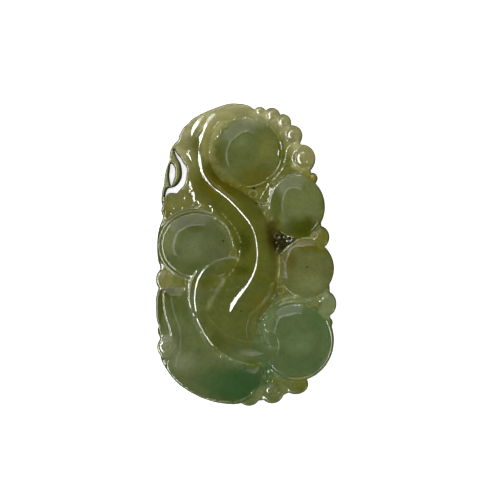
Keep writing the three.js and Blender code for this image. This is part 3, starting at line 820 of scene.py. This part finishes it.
# Brightness: the base, then what each texture adds to it, or takes away in the case of the flecks; cut adds
# painted light to the grooves and sunk ground
jadeShade = {"base": 0.2, "clouds": 0.7, "grain": 0.66, "fine": 0.34, "flecks": 0.18, "cut": 0.22}
jadeZones = {  # x, y, half width, half height, where it starts to fade, colour, strength
    "openwork": (-10.9, 12.7, 3.6, 6.2, 0.5, srgb(108, 107, 54), 0.9),
    "scroll": (-12.7, 13.2, 1.2, 3.6, 0.5, srgb(128, 134, 90), 0.8),
    "leftGround": (-10.1, 8.9, 4.6, 2.6, 0.5, srgb(92, 92, 42), 0.9),
    "stemTop": (-4.2, 21.6, 4.2, 3.0, 0.6, srgb(146, 142, 88), 0.95),
    "stemShoulder": (-6.2, 18.0, 1.9, 3.6, 0.4, srgb(138, 134, 80), 0.85),
    "amber": (-4.0, 11.7, 5.2, 3.2, 0.3, srgb(86, 79, 2), 0.9),
    "amberDark": (-4.6, 13.6, 2.2, 1.6, 0.2, srgb(66, 64, 2), 0.8),
    "topFruit": (0.0, 17.2, 5.9, 5.9, 0.8, srgb(90, 97, 50), 1.0),
    "topFruitRight": (3.6, 17.2, 2.4, 4.0, 0.2, srgb(106, 108, 52), 0.8),
    "topFruitLeft": (-4.6, 15.6, 1.6, 3.0, 0.2, srgb(84, 84, 26), 0.8),
    "topFruitLow": (1.6, 12.6, 4.4, 2.4, 0.3, srgb(90, 88, 22), 0.8),
    # painted reflection: a pale sheen of the overhead haze on the dome
    "topFruitPaintedSheen": (-0.8, 18.2, 2.8, 2.2, 0.1, srgb(100, 110, 66), 0.7),
    "upperFruit": (8.4, 8.4, 4.6, 5.1, 0.75, srgb(99, 106, 61), 1.0),
    "upperFruitTop": (8.2, 11.4, 3.0, 1.6, 0.2, srgb(86, 92, 42), 0.6),
    "upperFruitLeft": (5.0, 8.2, 1.2, 4.0, 0.2, srgb(74, 82, 24), 0.7),
    "upperStain": (9.4, 4.4, 3.4, 2.4, 0.3, srgb(60, 68, 2), 0.95),
    "upperStainBrown": (10.3, 5.5, 1.2, 1.2, 0.1, srgb(70, 62, 2), 0.8),
    "lowerFruit": (10.0, -2.6, 4.7, 4.7, 0.75, srgb(94, 98, 53), 1.0),
    "lowerFruitPale": (10.6, -4.8, 3.4, 2.2, 0.2, srgb(108, 114, 70), 0.9),
    "lowerStain": (11.2, 1.4, 3.6, 1.5, 0.3, srgb(88, 84, 12), 0.9),
    "lowerStainBrown": (7.2, -0.8, 1.8, 2.2, 0.2, srgb(84, 78, 24), 0.8),
    "leftLobe": (-8.3, 1.6, 6.2, 5.7, 0.8, srgb(87, 94, 54), 1.0),
    "leftLobeEdge": (-12.4, 2.6, 1.8, 3.6, 0.2, srgb(112, 118, 76), 0.8),
    # painted reflection: a pale sheen of the overhead haze on the dome
    "leftLobePaintedSheen": (-8.6, 1.2, 3.2, 3.0, 0.1, srgb(102, 110, 76), 0.8),
    "leftLobeLow": (-7.0, -2.2, 3.6, 1.5, 0.2, srgb(74, 86, 34), 0.8),
    "leftLobeTop": (-8.6, 5.0, 3.4, 1.6, 0.2, srgb(72, 78, 30), 0.7),
    "stemGreenHigh": (-0.3, 1.9, 1.5, 2.6, 0.2, srgb(52, 62, 2), 0.8),
    "stemGreenLow": (-0.7, -2.7, 1.9, 1.3, 0.2, srgb(56, 64, 2), 0.8),
    "stemPale": (3.2, 5.3, 1.3, 2.2, 0.2, srgb(98, 98, 44), 0.7),
    "stemOlive": (3.4, -1.4, 1.3, 3.0, 0.2, srgb(88, 94, 40), 0.7),
    "brownEdge": (4.3, 3.2, 1.2, 3.8, 0.3, srgb(56, 46, 2), 0.9),
    "bean": (-8.0, -15.5, 8.6, 10.6, 0.8, srgb(88, 97, 58), 0.95),
    "beanTop": (-10.8, -8.4, 2.6, 2.6, 0.3, srgb(78, 88, 40), 0.8),
    "beanPale": (-10.4, -17.4, 3.4, 2.4, 0.1, srgb(112, 118, 87), 0.8),
    "emerald": (-1.4, -21.2, 6.6, 4.0, 0.4, srgb(51, 78, 40), 1.0),
    "beanGreen": (-6.0, -20.4, 3.4, 2.8, 0.2, srgb(66, 84, 48), 0.7),
    "head": (-0.8, -10.0, 7.0, 6.6, 0.85, srgb(83, 89, 37), 0.9),
    "headLow": (-0.2, -15.6, 4.6, 1.6, 0.3, srgb(74, 84, 44), 0.9),
    # painted shade: darker band along the head's lower-left edge
    "headEdgeShade": (-5.0, -14.0, 1.6, 2.6, 0.2, srgb(66, 74, 24), 0.6),
    "headAmber": (2.4, -8.0, 2.4, 2.6, 0.2, srgb(92, 90, 26), 0.7),
    # painted reflection: pale band of the overhead haze on the head's lower bevel
    "headBevelSheen": (0.2, -16.3, 3.6, 1.0, 0.3, srgb(90, 101, 62), 0.8),
    "headTip": (2.6, -17.0, 2.4, 1.2, 0.4, srgb(80, 98, 54), 0.9),
    "rightLobe": (8.0, -14.1, 6.8, 7.0, 0.85, srgb(82, 97, 57), 1.0),
    "rightLobeGreen": (11.9, -10.6, 2.0, 2.2, 0.2, srgb(70, 94, 50), 0.8),
    # painted reflection: a pale sheen of the overhead haze on the dome
    "rightLobePaintedSheen": (8.8, -14.6, 3.0, 2.6, 0.1, srgb(94, 112, 72), 0.7),
    "rightLobeLow": (9.6, -18.0, 4.2, 2.4, 0.2, srgb(72, 92, 54), 0.8),
    "lowGround": (3.4, -19.0, 1.6, 2.2, 0.4, srgb(62, 84, 46), 0.9),
    "lowGroundEdge": (9.4, -20.8, 3.0, 1.2, 0.4, srgb(104, 104, 40), 0.7),
    "rightBeads": (13.5, -8.3, 1.7, 2.8, 0.6, srgb(112, 120, 82), 0.9),
    "rightGround": (8.6, -7.3, 4.8, 1.3, 0.4, srgb(98, 108, 64), 0.85),
    "amberBead": (12.3, 2.8, 1.7, 1.9, 0.6, srgb(101, 101, 44), 0.9),
    "topBead": (9.4, 15.9, 2.3, 2.5, 0.7, srgb(124, 122, 66), 0.9),
    "topBeadLow": (10.6, 13.0, 1.6, 1.2, 0.5, srgb(106, 104, 38), 0.9),
    "lowBeads": (5.4, -23.0, 4.9, 2.0, 0.6, srgb(94, 102, 60), 0.9),
    "lowEdgeBead": (0.5, -24.2, 1.7, 0.9, 0.5, srgb(92, 101, 58), 0.8),
    "leftStrip": (-14.3, -9.0, 1.0, 3.8, 0.6, srgb(72, 78, 26), 0.9),
    "leftBead": (-13.5, -4.1, 1.6, 1.9, 0.6, srgb(124, 122, 73), 0.9),
    "leftBeadDark": (-12.8, -6.3, 1.6, 1.2, 0.3, srgb(66, 66, 10), 0.8),
    "lowLeftBead": (-13.2, -14.8, 1.8, 2.4, 0.6, srgb(114, 120, 86), 0.9),
}
darkGround = {  # the stained cut between the two right-hand fruits
    "at": (6.0, 2.2), "half": (2.6, 2.4), "fade": 0.5,
    "cutFade": (0.2, 0.7), "tone": srgb(26, 23, 0), "share": 0.9,
}
jadeSpecks = [  # x, y, radius
    (1.3, 10.9, 0.28), (1.7, 8.4, 0.22), (10.0, -2.0, 0.2), (-0.75, -9.2, 0.2), (-3.7, 2.3, 0.2),
    (13.8, -16.4, 0.25),
]
speckLook = {"tone": srgb(20, 18, 6), "share": 0.9, "fade": (0.7, 1.6), "ragged": 0.2}  # fade over the radius


def jadeMaterial():
    material = bpy.data.materials.new("jade")
    material.use_nodes = True
    tree = material.node_tree
    shader = tree.nodes["Principled BSDF"]
    paint = Wire(tree)
    spot = paint.node("ShaderNodeTexCoord", out="Object").scaled(1 / mm)
    sway = jade["sway"]
    drift = spot.noise(*jadeNoises["sway"], out="Color")
    drift = paint.vector("MULTIPLY_ADD", drift, (sway, sway, 0.0), (-sway / 2, -sway / 2, 0.0))
    cloudy = paint.vector("ADD", spot, drift)
    masks = [{"attribute_name": name} for name in ("inset", "cut", "paintedHighlight")]
    inset, cut, paintedHighlight = (paint.node("ShaderNodeAttribute", mask, out="Fac") for mask in masks)
    height = paint.node("ShaderNodeSeparateXYZ", inputs={0: spot}, out="Y")
    clouds = cloudy.noise(*jadeNoises["clouds"])
    grain = spot.noise(*jadeNoises["grain"])
    flecks = cloudy.noise(*jadeNoises["flecks"]).step(*jade["fleckFade"])
    fine = spot.noise(*jadeNoises["fine"])

    def inZone(x, y, halfWidth, halfHeight, fade):
        shift = paint.vector("SUBTRACT", cloudy, (x, y, 0))
        share = paint.vector("MULTIPLY", shift, (1 / halfWidth, 1 / halfHeight, 0))
        return 1 - paint.vector("LENGTH", share, out="Value").step(fade, jade["zoneEnd"])

    colour = jade["body"]
    for *area, tint, strength in jadeZones.values():
        colour = paint.mix(colour, tint, inZone(*area) * strength)
    pale = (1 - (inset + clouds).step(*jade["creamInset"])) * height.step(*jade["creamHeight"])
    colour = paint.mix(colour, jade["cream"], pale * jade["creamShare"])
    shade = jadeShade["base"] + clouds * jadeShade["clouds"] + grain * jadeShade["grain"]
    # painted light brightens the cut grooves and sunk ground
    shade = shade + fine * jadeShade["fine"] - flecks * jadeShade["flecks"] + cut * jadeShade["cut"]
    colour = colour.scaled(shade)
    # painted shade along the steep edges of the stone and its openings
    colour = paint.mix(colour, jade["edge"], (1 - inset.step(*jade["edgeShadeInset"])) * jade["edgeShadeShare"])
    stain = inZone(*darkGround["at"], *darkGround["half"], darkGround["fade"])
    stain = stain * cut.step(*darkGround["cutFade"])
    colour = paint.mix(colour, darkGround["tone"], stain * darkGround["share"])
    # paints the pale highlights on the lines, strokes and drill rings
    colour = paint.mix(colour, jade["paintedHighlight"], paintedHighlight)
    flat = paint.vector("MULTIPLY", spot, (1.0, 1.0, 0.0))
    start, end = speckLook["fade"]
    for x, y, radius in jadeSpecks:
        away = paint.vector("DISTANCE", flat, (x, y, 0.0), out="Value") + grain * speckLook["ragged"]
        dark = 1 - away.step(radius * start, radius * end)
        colour = paint.mix(colour, speckLook["tone"], dark * speckLook["share"])
    tree.links.new(colour.socket, shader.inputs["Base Color"])
    rough = jade["roughness"] + cut * (1 - stain) * (jade["cutRoughness"] - jade["roughness"])
    tree.links.new(rough.socket, shader.inputs["Roughness"])
    shader.inputs["IOR"].default_value = jade["index"]
    shader.inputs["Subsurface Weight"].default_value = jade["scatter"]
    shader.inputs["Subsurface Scale"].default_value = jade["scatterScale"]
    shader.inputs["Subsurface Radius"].default_value = jade["scatterRadius"]
    return material


floorLook = {
    "half": 3.0,
    "drop": 0.02 * mm,  # so that it doesn't share a plane with the back
    "tone": (0.9, 0.9, 0.9, 1.0),
    "roughness": 0.9,
    "glow": 0.6,
}


def buildFloor():
    half = floorLook["half"]
    mesh = bpy.data.meshes.new("floor")
    corners = [(-half, -half, 0), (half, -half, 0), (half, half, 0), (-half, half, 0)]
    mesh.from_pydata(corners, [], [(0, 1, 2, 3)])
    floor = bpy.data.objects.new("floor", mesh)
    floor.location.z = -floorLook["drop"]
    bpy.context.collection.objects.link(floor)
    paper = bpy.data.materials.new("paleFloor")
    paper.use_nodes = True
    sheet = paper.node_tree.nodes["Principled BSDF"].inputs
    sheet["Base Color"].default_value = floorLook["tone"]
    sheet["Roughness"].default_value = floorLook["roughness"]
    sheet["Emission Color"].default_value = white
    sheet["Emission Strength"].default_value = floorLook["glow"]
    mesh.materials.append(paper)
    floor.visible_glossy = False  # keeps the polished edges from going white


panels = {  # azimuths from the viewer's right, half the turn that each spans, zenith from and to, radiance
    "window": {"azimuths": (149, 173, 197, 221), "half": 12, "zenith": (56, 71), "radiance": 24.0},
    "windowAbove": {"azimuths": (84, 105, 126), "half": 10.5, "zenith": (58, 70), "radiance": 7.0},
    "windowBelow": {"azimuths": (244,), "half": 11, "zenith": (60, 70), "radiance": 4.0},
    "glint": {"azimuths": (325,), "half": 12, "zenith": (64, 70), "radiance": 8.0},
}
panelDistance = 0.5
topFill = {"radiance": 5.0, "size": 0.8, "height": 0.9}


def areaLight(name, place, size, radiance, diffuse=True, glossy=True):
    data = bpy.data.lights.new(name, "AREA")
    data.shape = "RECTANGLE"
    data.size, data.size_y = size
    data.energy = radiance * math.pi * size[0] * size[1]  # power of a flat light with that radiance
    light = bpy.data.objects.new(name, data)
    light.location = place
    light.rotation_mode = "QUATERNION"
    light.rotation_quaternion = (-Vector(place)).to_track_quat("-Z", "Y")
    light.visible_diffuse = diffuse
    light.visible_glossy = glossy
    bpy.context.collection.objects.link(light)


def buildLights():
    for name, panel in panels.items():
        low, high = (math.radians(v) for v in panel["zenith"])
        middle = (low + high) / 2
        flat, height = panelDistance * math.sin(middle), panelDistance * math.cos(middle)
        width = 2 * flat * math.tan(math.radians(panel["half"]))
        size = (width, 2 * panelDistance * math.tan((high - low) / 2))
        for azimuth in panel["azimuths"]:
            turn = math.radians(azimuth)
            place = (flat * math.cos(turn), flat * math.sin(turn), height)
            areaLight(f"{name}{azimuth}", place, size, panel["radiance"], diffuse=False)
    side = topFill["size"]
    areaLight("topFill", (0, 0, topFill["height"]), (side, side), topFill["radiance"], glossy=False)


# Each patch of the sky fades in between its first two angles and out between its last two
sky = {
    "glow": 0.03,
    "haze": {"azimuth": (56, 84, 136, 154), "zenith": (25, 27, 42, 50), "radiance": 1.0},
    "windowFrame": {"azimuth": (60, 90, 205, 214), "zenith": (24.6, 25.4, 26.0, 26.8), "radiance": 2.6},
}


def buildSky():
    world = bpy.data.worlds.new("studioSky")
    world.use_nodes = True
    tree = world.node_tree
    paint = Wire(tree)
    way = paint.node("ShaderNodeTexCoord", out="Generated")
    x, y, z = (paint.node("ShaderNodeSeparateXYZ", inputs={0: way}, out=axis) for axis in "XYZ")
    turn = 180 + paint.math("DEGREES", paint.math("ARCTAN2", 0 - y, 0 - x))
    tilt = paint.math("DEGREES", paint.math("ARCCOSINE", z))

    def within(angle, a, b, c, d):
        return angle.step(a, b) * (1 - angle.step(c, d))

    def patch(shape):
        return within(turn, *shape["azimuth"]) * within(tilt, *shape["zenith"]) * shape["radiance"]

    glow = sky["glow"] + patch(sky["haze"]) + patch(sky["windowFrame"])
    background = tree.nodes["Background"].inputs
    background["Color"].default_value = white
    tree.links.new(glow.socket, background["Strength"])
    bpy.context.scene.world = world


view = {"lens": 100.0, "clip": (0.01, 20), "width": 82.5 * mm, "aim": (0.66 * mm, 0.78 * mm, 2.5 * mm)}


def aimCamera():
    data = bpy.data.cameras.new("camera")
    data.lens = view["lens"]
    data.clip_start, data.clip_end = view["clip"]
    camera = bpy.data.objects.new("camera", data)
    distance = view["width"] * data.lens / data.sensor_width
    camera.location = Vector(view["aim"]) + Vector((0, 0, distance))
    bpy.context.collection.objects.link(camera)
    bpy.context.scene.camera = camera
    bpy.context.scene.view_settings.view_transform = "Standard"


pendant = buildPendant()
pendant.data.materials.append(jadeMaterial())
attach(pendant, "root")
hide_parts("pendant")
print("pendant carved")
buildFloor()
buildLights()
buildSky()
aimCamera()
print("studio lit")
